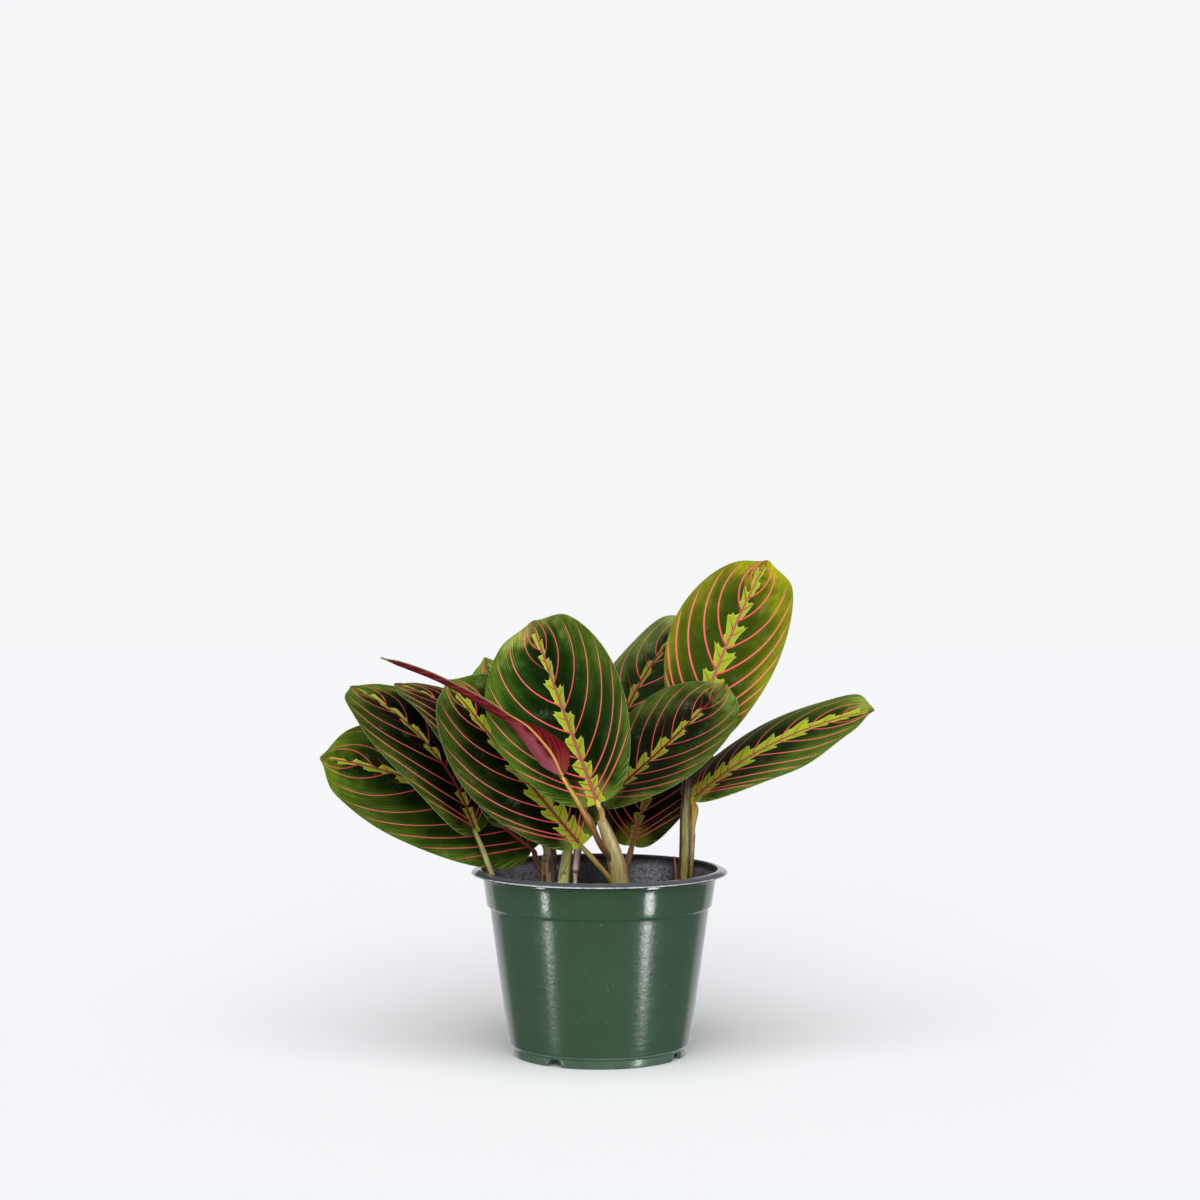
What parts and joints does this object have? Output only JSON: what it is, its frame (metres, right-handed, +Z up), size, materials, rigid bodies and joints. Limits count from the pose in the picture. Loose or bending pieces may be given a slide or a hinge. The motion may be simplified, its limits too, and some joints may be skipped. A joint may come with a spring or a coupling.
{
  "type": "potted prayer plant",
  "caption": "Prayer plant with broad patterned leaves on slender stalks, growing in a round tapered nursery pot with a rolled lip and a notched foot.",
  "frame": {"origin": "centre of the pot's underside, on the surface it stands on", "axes": "+Z up, +X to the right seen from the plant's front, +Y away behind it"},
  "size_m": [0.2787, 0.1409, 0.2438],
  "materials": {
    "pot_plastic": "injection moulded polypropylene, glossy dark green outside and black inside",
    "soil": "moist crumbly peat mix",
    "green_stalk": "ribbed green stalk, satin",
    "brown_stalk": "ribbed brown stalk, satin",
    "dry_matter": "dried plant fibre, matt",
    "bright_leaf": "satin leaf, yellow green with red veins, wine red underneath",
    "dark_leaf": "satin leaf, dark green with red veins, wine red underneath",
    "rolled_leaf": "satin crimson underside of a rolled leaf"
  },
  "bodies": {
    "root": {"pot": "pot_plastic", "soil": "soil", "shoot_1": "brown_stalk", "shoot_2": "green_stalk", "shoot_3": "green_stalk", "shoot_4": "brown_stalk", "shoot_5": "green_stalk", "shoot_6": "brown_stalk", "shoot_7": "green_stalk", "dry_strand": "dry_matter", "leaf_01": "bright_leaf", "leaf_02": "dark_leaf", "leaf_03": "dark_leaf", "leaf_04": "dark_leaf", "leaf_05": "dark_leaf", "leaf_06": "rolled_leaf", "leaf_07": "dark_leaf", "leaf_08": "bright_leaf", "leaf_09": "dark_leaf", "leaf_10": "dark_leaf", "leaf_11": "dark_leaf", "leaf_12": "dark_leaf"}
  },
  "joints": []
}
